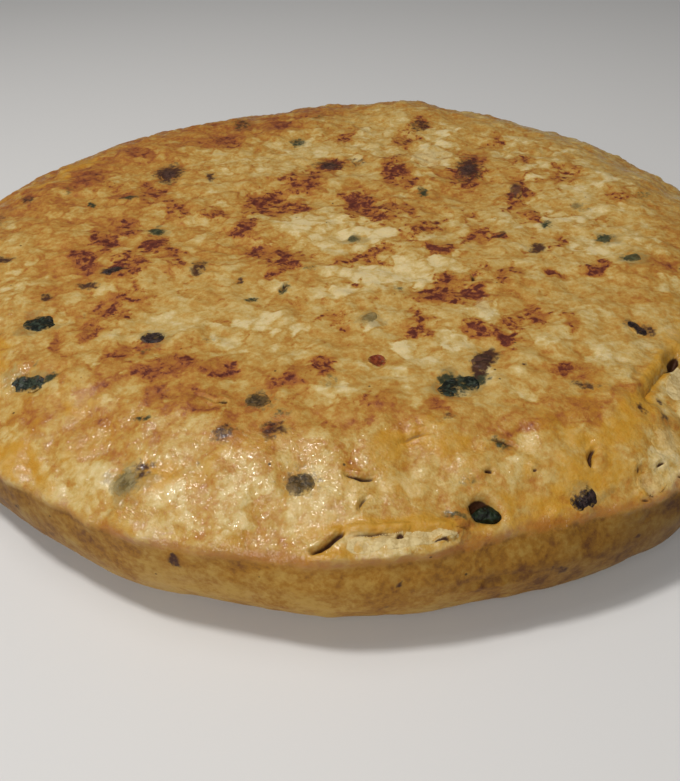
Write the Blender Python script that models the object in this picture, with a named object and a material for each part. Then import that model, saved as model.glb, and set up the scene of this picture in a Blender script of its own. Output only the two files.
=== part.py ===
# Spanish omelette: a whole round of potato, egg and courgette, turned out of a 24 cm pan.
# Units are metres and +Z is up. The origin is the middle of the flat underside.

import math

import bmesh
import bpy
from mathutils import Matrix, Vector, noise

MM = 0.001

# The round. The crease is the line, where the sloping shoulder meets the side wall.
# The shoulder's places are shares of the crease's radius.
CREASE_RADIUS = 120.0 * MM
CREASE_HEIGHT = 24.0 * MM
TOP_HEIGHT = 35.0 * MM
DISH_DEPTH = 1.0 * MM
SHOULDER_START = 0.70
SHOULDER_POWER = 2.2
SHOULDER_MIDDLE = 0.86
SHOULDER_WIDTH = 0.10
CREASE_BLEND = 0.08

# The side wall is a quarter of an ellipse that curls in to the flat underside.
WALL_TOP_HEIGHT = 16.5 * MM
WALL_PROUD = 0.6 * MM
BASE_RADIUS = 107.0 * MM
WALL_RINGS = 6
TOP_RINGS = 26

# Lobes are (angle in degrees, size, half width in degrees). The viewer stands at -90 degrees.
CREASE_LOBES = (
    (-128.0, -1.1 * MM, 14.0),
    (-110.5, 1.5 * MM, 6.0),
    (-93.0, 0.9 * MM, 4.0),
    (-72.0, -1.7 * MM, 8.0),
    (-58.0, 2.2 * MM, 6.0),
    (8.0, -2.2 * MM, 18.0),
    (150.0, -0.8 * MM, 22.0),
)
WALL_LOBES = (
    (-66.0, 2.7 * MM, 17.0),
    (-90.0, 0.7 * MM, 10.0),
    (-136.0, -0.8 * MM, 24.0),
)
SHOULDER_LOBES = (
    (74.0, 2.7 * MM, 15.0),
    (168.0, 1.0 * MM, 20.0),
    (116.0, -0.9 * MM, 14.0),
    (22.0, -0.9 * MM, 14.0),
    (-58.0, 1.1 * MM, 12.0),
    (-100.0, 0.5 * MM, 18.0),
)

# Soft lumps where potato lies under the egg.
LUMP_SPACING = 19.0 * MM
LUMP_HEIGHT = 1.0 * MM
PIT_SPACING = 8.5 * MM
PIT_DEPTH = 0.45 * MM
WALL_LUMP_HEIGHT = 0.9 * MM
CREASE_WOBBLE = 0.6 * MM
CREASE_WAVES = 2.6
WALL_WAVES = 7.0
WALL_FOLLOW = 0.5

# Clearance between a piece and the pocket it sits in.
POCKET_GAP = 0.36 * MM

# Vegetable pieces in the top crust: name, x, y, length, width in mm, turn in degrees.
COURGETTE = (
    ("courgette_1", -72.0, -54.0, 9.0, 7.5, 15.0),
    ("courgette_2", -69.0, -75.0, 10.0, 5.2, -18.0),
    ("courgette_3", -43.5, -62.0, 6.5, 5.6, 0.0),
    ("courgette_4", -42.5, -103.5, 8.8, 7.6, 10.0),
    ("courgette_5", -18.0, -86.5, 6.6, 6.0, 40.0),
    ("courgette_6", -9.0, -106.5, 7.2, 5.6, 0.0),
    ("courgette_7", 23.6, -82.6, 11.0, 7.6, 15.0),
    ("courgette_8", 44.5, -107.5, 6.6, 4.6, 25.0),
    ("courgette_9", -52.5, -6.5, 6.4, 4.4, -60.0),
    ("courgette_10", 3.5, -14.0, 6.6, 4.6, 80.0),
    ("courgette_11", 71.5, -18.0, 6.8, 4.4, 60.0),
    ("courgette_12", 75.0, -30.5, 6.2, 4.8, 30.0),
    ("courgette_13", 67.0, -61.5, 6.2, 4.4, -60.0),
    ("courgette_14", 6.0, -56.0, 6.2, 4.6, 50.0),
    ("courgette_15", -59.5, -30.0, 6.4, 4.8, -15.0),
    ("courgette_16", 54.0, 17.0, 11.0, 5.2, 70.0),
    ("courgette_17", 69.0, 3.0, 6.4, 4.6, 50.0),
)
BROWNED = (
    ("browned_1", 29.6, -73.4, 8.6, 4.6, 65.0),
    ("browned_2", 7.0, -72.5, 6.0, 4.8, 70.0),
    ("browned_3", -55.0, 35.0, 13.0, 6.6, -70.0),
    ("browned_4", 41.5, 32.0, 13.0, 6.8, 78.0),
    ("browned_5", -3.0, 40.0, 10.0, 7.2, 75.0),
)
POTATO = (
    ("potato_slice", 31.0, 45.0, 20.0, 17.0, 80.0),
    ("potato_lump", 33.5, -51.5, 10.0, 6.4, 80.0),
    ("potato_side_1", 64.5, -94.5, 9.6, 8.0, 30.0),
    ("potato_side_2", 58.6, -103.4, 8.0, 5.2, 25.0),
)
PIECE_THICKNESS = 0.52
MOST_THICKNESS = 4.6 * MM
PIECE_PROUD = 0.30
PIECE_WOBBLE = 0.16
PIECE_WAVES = 1.7
PIECE_SEED_STEP = 3.1
LARGE_PIECE = 15.0 * MM

# The tear along the front of the shoulder, just above the crease.
TEAR_FROM = -95.5
TEAR_TO = -77.0
TEAR_RADIUS = 116.9 * MM
TEAR_HEIGHT = 24.9 * MM
TEAR_HALF_WIDTH = 2.9 * MM
TEAR_HALF_HEIGHT = 2.2 * MM
TEAR_TURN = -16.0
TEAR_TAPER = 0.45
FILLING_FROM = -91.8
FILLING_TO = -79.3
FILLING_PRESS = 0.3
TEAR_TIP = 0.25
BAR_STATIONS = 16
BAR_SIDES = 12

# The round hole at the right end of the tear and the courgette piece that sits in it.
HOLE_AT = (24.7 * MM, -112.2 * MM)
HOLE_SIZE = (7.6 * MM, 5.8 * MM, 6.0 * MM)
HOLE_SINK = 0.9 * MM
HOLE_SEED = 2.2
TEAR_PIECE_AT = (25.8 * MM, -113.2 * MM)
TEAR_PIECE_SIZE = (6.2 * MM, 4.0 * MM, 3.4 * MM)
TEAR_PIECE_TURN = 5.0
TEAR_PIECE_SINK = 1.7 * MM

# The hollow under the lifted flap at the right, with a potato piece in it.
HOLLOW_AT = (72.5 * MM, -77.3 * MM)
HOLLOW_SIZE = (18.0 * MM, 9.6 * MM, 6.4 * MM)
HOLLOW_TURN = 50.0
HOLLOW_SINK = 1.0 * MM
HOLLOW_SEED = 0.6
HOLLOW_POTATO_AT = (73.5 * MM, -78.4 * MM)
HOLLOW_POTATO_SIZE = (14.5 * MM, 6.8 * MM, 4.6 * MM)
HOLLOW_POTATO_SINK = 2.9 * MM


def clear_scene():
    for obj in list(bpy.data.objects):
        bpy.data.objects.remove(obj, do_unlink=True)


def make_material(name, colour, roughness):
    material = bpy.data.materials.new(name)
    material.use_nodes = True
    shader = material.node_tree.nodes["Principled BSDF"]
    shader.inputs["Base Color"].default_value = (*colour, 1.0)
    shader.inputs["Roughness"].default_value = roughness
    shader.inputs["Metallic"].default_value = 0.0
    return material


def add_object(name, bm, material):
    mesh = bpy.data.meshes.new(name)
    bm.to_mesh(mesh)
    bm.free()
    mesh.shade_smooth()
    mesh.materials.append(material)
    obj = bpy.data.objects.new(name, mesh)
    bpy.context.scene.collection.objects.link(obj)
    return obj


# Form of the round

def lobe_sum(lobes, degrees):
    total = 0.0
    for centre, size, half_width in lobes:
        away = (degrees - centre + 180.0) % 360.0 - 180.0
        total += size * math.exp(-((away / half_width) ** 2))
    return total


def smooth_noise(x, y, spacing, layer):
    return noise.noise(Vector((x / spacing, y / spacing, layer)))


def noise_around(angle, waves, layer):
    return noise.noise(Vector((waves * math.cos(angle), waves * math.sin(angle), layer)))


def crease_radius(angle):
    """Radius of the crease in this direction."""
    wobble = CREASE_WOBBLE * noise_around(angle, CREASE_WAVES, 4.7)
    return CREASE_RADIUS + wobble + lobe_sum(CREASE_LOBES, math.degrees(angle))


def top_height(x, y):
    """Height of the upper surface over this point."""
    angle = math.atan2(y, x)
    out = math.hypot(x, y) / crease_radius(angle)
    if out <= SHOULDER_START:
        fall = DISH_DEPTH * (1.0 - (out / SHOULDER_START) ** 2)
    else:
        along = (out - SHOULDER_START) / (1.0 - SHOULDER_START)
        fall = (TOP_HEIGHT - CREASE_HEIGHT) * along ** SHOULDER_POWER
    lobe_fade = math.exp(-(((out - SHOULDER_MIDDLE) / SHOULDER_WIDTH) ** 2))
    crease_fade = min(1.0, max(0.0, (1.0 - out) / CREASE_BLEND))
    lumps = LUMP_HEIGHT * smooth_noise(x, y, LUMP_SPACING, 1.3)
    pits = -PIT_DEPTH * abs(smooth_noise(x, y, PIT_SPACING, 7.9))
    lobes = lobe_fade * lobe_sum(SHOULDER_LOBES, math.degrees(angle))
    return TOP_HEIGHT - fall + lobes + crease_fade * (lumps + pits)


def top_normal(x, y):
    """Direction square to the upper surface, over a few millimetres."""
    step = 2.5 * MM
    slope_x = (top_height(x + step, y) - top_height(x - step, y)) / (2.0 * step)
    slope_y = (top_height(x, y + step) - top_height(x, y - step)) / (2.0 * step)
    return Vector((-slope_x, -slope_y, 1.0)).normalized()


def wall_point(angle, turn):
    """A point of the side wall: turn is 0 at the underside's edge and a quarter circle at its top."""
    bulge = CREASE_RADIUS + WALL_PROUD - BASE_RADIUS
    lump = WALL_LUMP_HEIGHT * noise_around(angle, WALL_WAVES, 3.0 * turn)
    radius = BASE_RADIUS + bulge * math.sin(turn)
    radius += WALL_FOLLOW * (crease_radius(angle) - CREASE_RADIUS)
    radius += lobe_sum(WALL_LOBES, math.degrees(angle)) + lump * math.sin(2.0 * turn)
    height = WALL_TOP_HEIGHT * (1.0 - math.cos(turn))
    return Vector((radius * math.cos(angle), radius * math.sin(angle), height))


def add_top_rings(bm):
    """Rings of 6, 12, 18 and more points, so that the triangles are much the same size all over."""
    rings = [[bm.verts.new((0.0, 0.0, top_height(0.0, 0.0)))]]
    for ring in range(1, TOP_RINGS + 1):
        row = []
        for step in range(6 * ring):
            angle = 2.0 * math.pi * step / (6 * ring)
            radius = crease_radius(angle) * ring / TOP_RINGS
            x = radius * math.cos(angle)
            y = radius * math.sin(angle)
            row.append(bm.verts.new((x, y, top_height(x, y))))
        rings.append(row)
    return rings


def fill_between(bm, inner, outer, ring):
    """Triangles between ring and ring + 1, sector by sector."""
    inner_count = len(inner)
    outer_count = len(outer)
    for sector in range(6):
        for step in range(ring + 1):
            near = inner[(sector * ring + step) % inner_count]
            far = outer[(sector * (ring + 1) + step) % outer_count]
            far_next = outer[(sector * (ring + 1) + step + 1) % outer_count]
            bm.faces.new((near, far, far_next))
            if step < ring:
                near_next = inner[(sector * ring + step + 1) % inner_count]
                bm.faces.new((near, far_next, near_next))


def add_wall(bm, crease_row):
    count = len(crease_row)
    upper = crease_row
    for ring in range(WALL_RINGS):
        turn = 0.5 * math.pi * (1.0 - ring / (WALL_RINGS - 1))
        lower = []
        for step in range(count):
            lower.append(bm.verts.new(wall_point(2.0 * math.pi * step / count, turn)))
        for step in range(count):
            after = (step + 1) % count
            bm.faces.new((upper[step], lower[step], lower[after], upper[after]))
        upper = lower
    bm.faces.new(reversed(upper))


def centre_in_plan(bm):
    """Moves the round so that the middle of its box is over the origin, and returns the shift."""
    xs = [vert.co.x for vert in bm.verts]
    ys = [vert.co.y for vert in bm.verts]
    shift = Vector((-0.5 * (min(xs) + max(xs)), -0.5 * (min(ys) + max(ys)), 0.0))
    bmesh.ops.translate(bm, verts=bm.verts, vec=shift)
    return shift


def make_round(material):
    bm = bmesh.new()
    rings = add_top_rings(bm)
    for ring in range(TOP_RINGS):
        fill_between(bm, rings[ring], rings[ring + 1], ring)
    add_wall(bm, rings[-1])
    shift = centre_in_plan(bm)
    return add_object("omelette", bm, material), shift


# Pieces set in the crust and their pockets

def pebble(size, seed, grow, divisions):
    """A knobbly flattened pebble with these full sizes, swollen by grow."""
    bm = bmesh.new()
    bmesh.ops.create_icosphere(bm, subdivisions=divisions, radius=1.0)
    half = Vector(size) * 0.5
    for vert in bm.verts:
        way = vert.co.normalized()
        knob = 1.0 + PIECE_WOBBLE * noise.noise(way * PIECE_WAVES + Vector((seed, 0.0, 0.0)))
        vert.co = Vector((way.x * half.x, way.y * half.y, way.z * half.z)) * knob
    if grow:
        bm.normal_update()
        for vert in bm.verts:
            vert.co += vert.normal * grow
    return bm


def seat(bm, place, seating, shift):
    """Turns a pebble, lays it on the slope of the crust and sinks it below the surface."""
    turn, sink = seating
    x = place[0] - shift.x
    y = place[1] - shift.y
    normal = top_normal(x, y)
    lean = Vector((0.0, 0.0, 1.0)).rotation_difference(normal).to_matrix().to_4x4()
    spin = Matrix.Rotation(math.radians(turn), 4, "Z")
    foot = Vector((x, y, top_height(x, y))) - normal * sink + shift
    bm.transform(Matrix.Translation(foot) @ lean @ spin)


def add_cutter(name, bm, material):
    cutter = add_object(name, bm, material)
    cutter.hide_render = True
    cutter.display_type = "WIRE"
    return cutter


def cut(target, cutter):
    modifier = target.modifiers.new(cutter.name, "BOOLEAN")
    modifier.operation = "DIFFERENCE"
    modifier.solver = "EXACT"
    modifier.object = cutter


def add_piece(name, place, size, seating, material, body, shift):
    """One vegetable piece, and the pocket that it sits in. Seating is its turn and its sink."""
    seed = PIECE_SEED_STEP * len(bpy.data.objects)
    divisions = 3 if size[0] > LARGE_PIECE else 2
    solid = pebble(size, seed, 0.0, divisions)
    hole = pebble(size, seed, POCKET_GAP, divisions)
    for bm in (solid, hole):
        seat(bm, place, seating, shift)
    add_object(name, solid, material)
    cut(body, add_cutter(name + "_pocket", hole, material))


def add_crust_pieces(rows, material, body, shift):
    for name, x, y, length, width, turn in rows:
        thickness = min(PIECE_THICKNESS * width * MM, MOST_THICKNESS)
        size = (length * MM, width * MM, thickness)
        seating = (turn, thickness * (0.5 - PIECE_PROUD))
        add_piece(name, (x * MM, y * MM), size, seating, material, body, shift)


# The torn places

def bent_bar(start, end, inset, press):
    """A bar along the tear with an oval section: inset makes it thinner, press flattens its top."""
    bm = bmesh.new()
    rows = []
    lean = math.radians(TEAR_TURN)
    for station in range(BAR_STATIONS + 1):
        degrees = start + (end - start) * station / BAR_STATIONS
        angle = math.radians(degrees)
        along = (degrees - TEAR_FROM) / (TEAR_TO - TEAR_FROM)
        taper = math.sin(math.pi * along) ** TEAR_TAPER
        out = TEAR_RADIUS * crease_radius(angle) / CREASE_RADIUS
        row = []
        for side in range(BAR_SIDES):
            around = 2.0 * math.pi * side / BAR_SIDES
            across = (TEAR_HALF_WIDTH * taper - inset) * math.cos(around)
            up = (TEAR_HALF_HEIGHT * taper - inset) * math.sin(around)
            up *= press if up > 0.0 else 1.0
            reach = out + across * math.cos(lean) - up * math.sin(lean)
            level = TEAR_HEIGHT + across * math.sin(lean) + up * math.cos(lean)
            row.append(bm.verts.new((reach * math.cos(angle), reach * math.sin(angle), level)))
        rows.append(row)
    for row, after in zip(rows, rows[1:]):
        for side in range(BAR_SIDES):
            other = (side + 1) % BAR_SIDES
            bm.faces.new((row[side], after[side], after[other], row[other]))
    bm.faces.new(rows[0])
    bm.faces.new(reversed(rows[-1]))
    return bm


def add_tear(potato, courgette, body, shift):
    """The split above the front crease: a notch with potato in it, and a hole with a courgette piece."""
    gash = bent_bar(TEAR_FROM + TEAR_TIP, TEAR_TO - TEAR_TIP, 0.0, 1.0)
    filling = bent_bar(FILLING_FROM, FILLING_TO, POCKET_GAP, FILLING_PRESS)
    for bm in (gash, filling):
        bmesh.ops.translate(bm, verts=bm.verts, vec=shift)
    cut(body, add_cutter("tear_cut", gash, potato))
    add_object("potato_front", filling, potato)
    hole = pebble(HOLE_SIZE, HOLE_SEED, 0.0, 2)
    seat(hole, HOLE_AT, (TEAR_PIECE_TURN, HOLE_SINK), shift)
    cut(body, add_cutter("hole_cut", hole, courgette))
    seating = (TEAR_PIECE_TURN, TEAR_PIECE_SINK)
    add_piece("courgette_tear", TEAR_PIECE_AT, TEAR_PIECE_SIZE, seating, courgette, body, shift)


def add_hollow(potato, body, shift):
    """The hollow that the lifted flap leaves, and the potato piece in it."""
    hollow = pebble(HOLLOW_SIZE, HOLLOW_SEED, 0.0, 3)
    seat(hollow, HOLLOW_AT, (HOLLOW_TURN, HOLLOW_SINK), shift)
    cut(body, add_cutter("hollow_cut", hollow, potato))
    seating = (HOLLOW_TURN, HOLLOW_POTATO_SINK)
    add_piece("potato_hollow", HOLLOW_POTATO_AT, HOLLOW_POTATO_SIZE, seating, potato, body, shift)


def main():
    clear_scene()
    crust = make_material("egg_crust", (0.45, 0.25, 0.07), 0.45)
    courgette = make_material("courgette_skin", (0.02, 0.035, 0.02), 0.35)
    browned = make_material("browned_vegetable", (0.09, 0.03, 0.015), 0.45)
    potato = make_material("potato_flesh", (0.56, 0.40, 0.19), 0.5)
    body, shift = make_round(crust)
    add_crust_pieces(COURGETTE, courgette, body, shift)
    add_crust_pieces(BROWNED, browned, body, shift)
    add_crust_pieces(POTATO, potato, body, shift)
    add_tear(potato, courgette, body, shift)
    add_hollow(potato, body, shift)


main()
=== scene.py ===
import bpy
import math
import numpy as np
from mathutils import Matrix, Vector, noise
from mathutils.bvhtree import BVHTree


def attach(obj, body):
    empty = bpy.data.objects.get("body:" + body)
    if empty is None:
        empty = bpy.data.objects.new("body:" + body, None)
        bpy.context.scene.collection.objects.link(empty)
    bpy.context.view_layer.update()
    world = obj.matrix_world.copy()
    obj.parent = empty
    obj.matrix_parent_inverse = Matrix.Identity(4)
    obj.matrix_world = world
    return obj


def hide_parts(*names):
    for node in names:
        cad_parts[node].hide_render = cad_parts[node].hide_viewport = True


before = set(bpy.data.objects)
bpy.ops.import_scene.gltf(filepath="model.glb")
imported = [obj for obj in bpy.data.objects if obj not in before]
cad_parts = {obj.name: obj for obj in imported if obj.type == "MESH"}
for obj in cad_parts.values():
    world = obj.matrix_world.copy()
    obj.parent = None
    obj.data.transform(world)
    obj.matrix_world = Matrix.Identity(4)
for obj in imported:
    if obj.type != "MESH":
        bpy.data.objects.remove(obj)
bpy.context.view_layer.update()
mm = 0.001


# small helpers

def deselectAll():
    for thing in bpy.context.selected_objects:
        thing.select_set(False)
    bpy.context.view_layer.objects.active = None


def pick(piece):
    deselectAll()
    piece.select_set(True)
    bpy.context.view_layer.objects.active = piece


def applyModifiers(piece):
    pick(piece)
    for modifier in list(piece.modifiers):
        bpy.ops.object.modifier_apply(modifier=modifier.name)


def copyOfNode(nodeName, pieceName):
    # a merged copy of a CAD node, the node itself stays as it is
    piece = bpy.data.objects.new(pieceName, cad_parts[nodeName].data.copy())
    piece.data.name = pieceName
    piece.data.materials.clear()
    bpy.context.collection.objects.link(piece)
    pick(piece)
    bpy.ops.object.mode_set(mode="EDIT")
    bpy.ops.mesh.select_all(action="SELECT")
    bpy.ops.mesh.remove_doubles(threshold=0.01 * mm)
    bpy.ops.object.mode_set(mode="OBJECT")
    return piece


def readPoints(piece, kind="co"):
    points = np.empty(len(piece.data.vertices) * 3)
    piece.data.vertices.foreach_get(kind, points)
    return points.reshape(-1, 3)


def readNormals(piece):
    return readPoints(piece, "normal")


def writePoints(piece, points):
    piece.data.vertices.foreach_set("co", points.reshape(-1))
    piece.data.update()


def writeMask(piece, maskName, values):
    mask = piece.data.attributes.get(maskName) or piece.data.attributes.new(maskName, "FLOAT", "POINT")
    mask.data.foreach_set("value", np.clip(values, 0.0, 1.0).astype(np.float32))


def relaxPoints(piece, shares, steps):
    # smoothing with a weight for each point, in steps of a twentieth
    weightSteps = 20
    group = piece.vertex_groups.new(name="relaxShare")
    levels = np.round(np.clip(shares, 0.0, 1.0) * weightSteps).astype(int)
    for level in range(1, weightSteps + 1):
        members = np.nonzero(levels == level)[0]
        if len(members):
            group.add(members.tolist(), level / weightSteps, "REPLACE")
    relax = piece.modifiers.new("relax", "SMOOTH")
    relax.factor = 0.5
    relax.iterations = steps
    relax.vertex_group = group.name
    applyModifiers(piece)
    piece.vertex_groups.clear()


# fields over points: where each lies in a mark, steps and noise

def above(points, height):
    return points[:, 2] > height * mm


def nearSpot(points, spot):
    # a spot is x, y and reach in mm
    return np.hypot(points[:, 0] / mm - spot[0], points[:, 1] / mm - spot[1]) < spot[2]


def smoothStep(values, low, high):
    # 0 at low and 1 at high, where low may be the larger of the two
    share = np.clip((values - low) / (high - low), 0.0, 1.0)
    return share * share * (3.0 - 2.0 * share)


def heightFade(points, low, high):
    return smoothStep(points[:, 2], low * mm, high * mm)


def markOffsets(points, mark):
    # places of all points along and across one mark, as shares of its half length and half width
    x, y, length, width, turn = mark[:5]
    cosTurn = math.cos(math.radians(turn))
    sinTurn = math.sin(math.radians(turn))
    offX = points[:, 0] / mm - x
    offY = points[:, 1] / mm - y
    along = (offX * cosTurn + offY * sinTurn) / (0.5 * length)
    across = (offY * cosTurn - offX * sinTurn) / (0.5 * width)
    return along, across


def bentOffsets(points, mark):
    # the same for a mark with a bent middle line
    along, across = markOffsets(points, mark)
    return along, across + mark[6] * (along ** 2) * mark[2] / mark[3]


def ovalField(points, marks):
    # soft oval patches, each with half its own strength on its outline
    field = np.zeros(len(points))
    for mark in marks:
        along, across = markOffsets(points, mark)
        field = np.maximum(field, mark[5] * np.exp(-0.7 * (along ** 2 + across ** 2) ** 1.5))
    return field


def cloudField(points, size, seed, octaves=1):
    places = (points / (size * mm) + seed).tolist()
    return np.array([noise.fractal(place, 1.0, 2.0, octaves) for place in places])


def warped(points, size, reach, seed):
    # the points pushed about sideways, so that round shapes turn ragged
    moved = points.copy()
    moved[:, 0] += reach * mm * cloudField(points, size, seed, 2)
    moved[:, 1] += reach * mm * cloudField(points, size, seed + 31.7, 2)
    return moved


def cellField(points, size, seed):
    # 0 in the creases between lumps, 1 on the lumps
    places = (warped(points, size * 0.7, size * 0.35, seed) / (size * mm) + seed).tolist()
    gaps = []
    for place in places:
        distances = noise.voronoi(place)[0]
        gaps.append(distances[1] - distances[0])
    return smoothStep(np.array(gaps), 0.0, 0.38)


def levelRound(points, facing, centre, reach):
    # how high a sloped plane through the crust just round a place lies at each point
    ringWidth, ringDepth = 2.5 * mm, 4.0 * mm
    spans = points[:, :2] - centre[:2]
    away = np.hypot(spans[:, 0], spans[:, 1])
    ring = (away > reach) & (away < reach + ringWidth) & (points[:, 2] > centre[2] - ringDepth) & facing
    table = np.column_stack((np.ones(ring.sum()), spans[ring]))
    plane = np.linalg.lstsq(table, points[ring, 2], rcond=None)[0]
    return plane[0] + spans @ plane[1:]


def pieceShare(points, nodeName, margin):
    # how far out from a piece's middle each point lies, 1 on its outline, with that middle and half length
    nodePoints = readPoints(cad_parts[nodeName])
    centre = nodePoints.mean(axis=0)
    spans = nodePoints[:, :2] - centre[:2]
    turns = np.linalg.eigh(spans.T @ spans)[1]
    half = np.abs(spans @ turns).max(axis=0)
    share = np.hypot(*((points[:, :2] - centre[:2]) @ turns / (half + margin * mm)).T)
    return share, centre, half.max()


# the round of egg and potato

# sizes and heights in mm, spots as x, y and reach, shares without a unit
roundForm = {
    "voxel": 1.04, "quickVoxel": 1.5,
    "fillSwell": 0.42, "ledgeSwell": 0.60, "smoothSteps": 9, "tornShare": 0.45,
    "bedFrom": 15.0, "bedDepth": 0.15, "bedMargin": 0.9, "bedFade": (1.15, 0.75), "bedRing": 1.2,
    "rimFade": (1.8, 1.3), "bedSteps": 8,
    "closeFade": (1.1, 0.75), "closeRing": 0.3, "closeWithin": (119.2, 118.4), "closeSteps": 12,
    "slitFade": (18.0, 21.0), "slitLip": 0.28, "lipAt": 1.9, "pocketRing": 0.5, "pocketDeep": (1.1, 2.8),
    "tearSpot": (8.0, -115.5, 24.0), "tearBefore": -108.0, "hollowSpot": (72.5, -78.0, 13.0),
    "baseHeight": 0.35, "baseTo": 6.0, "wallTop": 19.0, "topFrom": 26.0,
    "swellSize": 15.0, "swellRise": 0.9, "patchSize": 21.0,
    "lumpSize": 8.5, "lumpRise": 0.42,
    "knobSize": 4.4, "knobRise": 0.52,
    "grainSize": 2.0, "grainRise": 0.20,
    "rimHeight": 24.4, "rimHalf": 1.1, "rimSize": 7.0, "rimRise": 0.60,
    "frontRise": 1.2, "frontFrom": -119.5, "frontTo": -115.8,
}
ledgeNodes = ("potato_front", "potato_hollow")
flushNodes = [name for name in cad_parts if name.startswith(("courgette_", "browned_", "potato_"))
              and name not in ledgeNodes + ("courgette_tear",)]

# the hollow under the raised flap: its middle, turn, half sizes, and heights against the crust round it
hollowForm = {
    "at": (71.0, -79.2), "turn": 50.0, "half": (12.5, 6.2, 9.2), "aboutHeight": 32.0,
    "ring": 0.5, "fade": (1.12, 0.80), "ragged": 0.45, "raggedSize": 4.0,
    "flapEdge": (4.1, 6.1), "flapCrest": 5.9, "flapWidth": 2.2, "flapRise": 0.6,
    "gapEdge": (2.6, 4.0), "gapEnds": (11.5, 9.0), "gapDepth": 0.9, "gapDeeper": 1.7,
    "deeperFrom": (1.5, 5.5), "potatoDepth": 0.8, "potatoFade": (5.0, 0.5),
}
# the move of the round hole and its piece further in: x, y, reach, how far, and how much of that up
holeMove = {"at": (25.6, -112.4), "reach": 7.5, "inward": 1.9, "upShare": 0.45}
# the plug in the tear's left end: middle, half sizes, height of its foot and of its top, front and back
plugForm = {"at": (-8.5, -116.1), "half": (6.2, 3.0), "foot": 19.0, "front": 23.7, "back": 26.6}
# torn places where the crust closes over again: x, y, half length, half width, turn, depth in mm
closings = (
    (-10.8, -116.7, 4.2, 4.4, 8, 0), (-7.2, -117, 4, 4.4, 6, 0), (-4.2, -117.2, 3.4, 4.2, 4, 0.2),
    (22, -114.9, 3.4, 2.6, 12, 0.9),
)
# places that go deep, with painted shade in them: x, y, reach
pockets = (
    (24.7, -110.6, 4.6), (70.5, -77.2, 10),
)

# slits, pits and folds in the crust: x, y, length, width, turn, depth in mm, bend, strength of the painted
# shade in them
slits = (
    (2, -105.6, 6, 0.9, -8, 1.3, -0.22, 0.9), (46.9, -99.8, 4.8, 0.9, 70, 1.3, 0.34, 0.9),
    (26.5, -103.8, 1.8, 0.7, 10, 0.9, 0, 0.85), (35.5, -103.3, 1.2, 0.6, 10, 0.6, 0, 0.7),
    (-25, -86.6, 2.4, 1.01, -20, 1.4, 0, 1), (-28.5, -85, 6, 0.65, -28, 0.5, 0.1, 0.5),
    (61.2, -99.6, 2.8, 0.5, 25, 0.6, 0.1, 0.7), (56.2, -101.4, 1.3, 0.6, 70, 0.5, 0, 0.6),
    (65.4, -100.6, 1.9, 0.5, 10, 0.7, 0, 0.7), (56.8, -106.3, 2.2, 0.5, 5, 0.5, 0, 0.6),
    (33, -37.5, 4.2, 0.94, 84, 1.2, 0, 0.9), (-14.5, -39.5, 4.4, 0.94, 66, 0.8, 0, 0.6),
    (30, -97.6, 6, 0.79, -12, 0.7, 0.1, 0.6), (13, -96.6, 7, 0.86, 14, 0.6, 0.15, 0.5),
    (-33, -112.6, 9, 1.3, -14, 0.8, 0.25, 0.15), (2.3, -110.2, 3.8, 0.72, 55, 0.8, 0.35, 0.6),
    (-4, -100.6, 3, 1, 40, 0.6, 0.2, 0.4), (14, -79, 16, 1.4, -4, 0.35, 0.1, 0),
    (30, -88, 18, 1.3, -6, 0.4, 0.12, 0.1), (44, -92.5, 16, 1.2, 4, 0.4, -0.1, 0.15),
    (38, -100.5, 12, 1.4, -20, 0.45, 0.2, 0), (-60, -94, 12, 1.4, -30, 0.45, 0.2, 0.05),
    (-72, -83, 10, 1.3, -38, 0.45, 0.2, 0.05), (40, -110.6, 8, 1.3, 24, 0.5, 0.2, 0.1),
    (-3.8, -117.1, 7.6, 1.1, 26, 1.9, -0.12, 0.95), (4.6, -116, 11, 0.5, 1, 0.4, 0.06, 0.6),
    (9, -116.1, 24, 1.3, 2, 0.6, 0.02, 0.15), (9, -116.3, 1.6, 1, 0, 0.8, 0, 1),
    (16.4, -116.8, 3.4, 0.43, 5, 0.5, 0.2, 0.8), (20.4, -114.6, 4.4, 0.79, 12, 0.7, -0.2, 0.5),
)
# bands of crust that stand a little proud: x, y, length, width, turn, rise in mm, bend
lips = (
    (7, -114.9, 27, 2.1, 2, 0.42, 0.02), (-5, -119.7, 10, 1.5, 6, 0.5, 0), (8.4, -120.4, 7, 1.4, 4, 0.45, 0),
    (-22, -118.4, 11, 1.5, -9, 0.45, 0), (66.6, -76.8, 20, 3.4, 50, 0.5, 0),
    (48.6, -100.4, 5, 2.4, 70, 0.4, 0.2), (16.6, -115.2, 4.6, 2.2, 0, 0.45, 0),
)


def makePlug():
    # egg that closes the left end of the tear, under the crust drawn over it
    bpy.ops.mesh.primitive_cube_add(size=2.0)
    plug = bpy.context.active_object
    plug.name = "tearPlug"
    corners = np.sign(readPoints(plug))
    toBack = 0.5 * (corners[:, 1] + 1.0)
    tops = plugForm["front"] + toBack * (plugForm["back"] - plugForm["front"])
    places = np.column_stack((plugForm["at"][0] + plugForm["half"][0] * corners[:, 0],
                              plugForm["at"][1] + plugForm["half"][1] * corners[:, 1],
                              np.where(corners[:, 2] > 0.0, tops, plugForm["foot"])))
    writePoints(plug, places * mm)
    return plug


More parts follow.
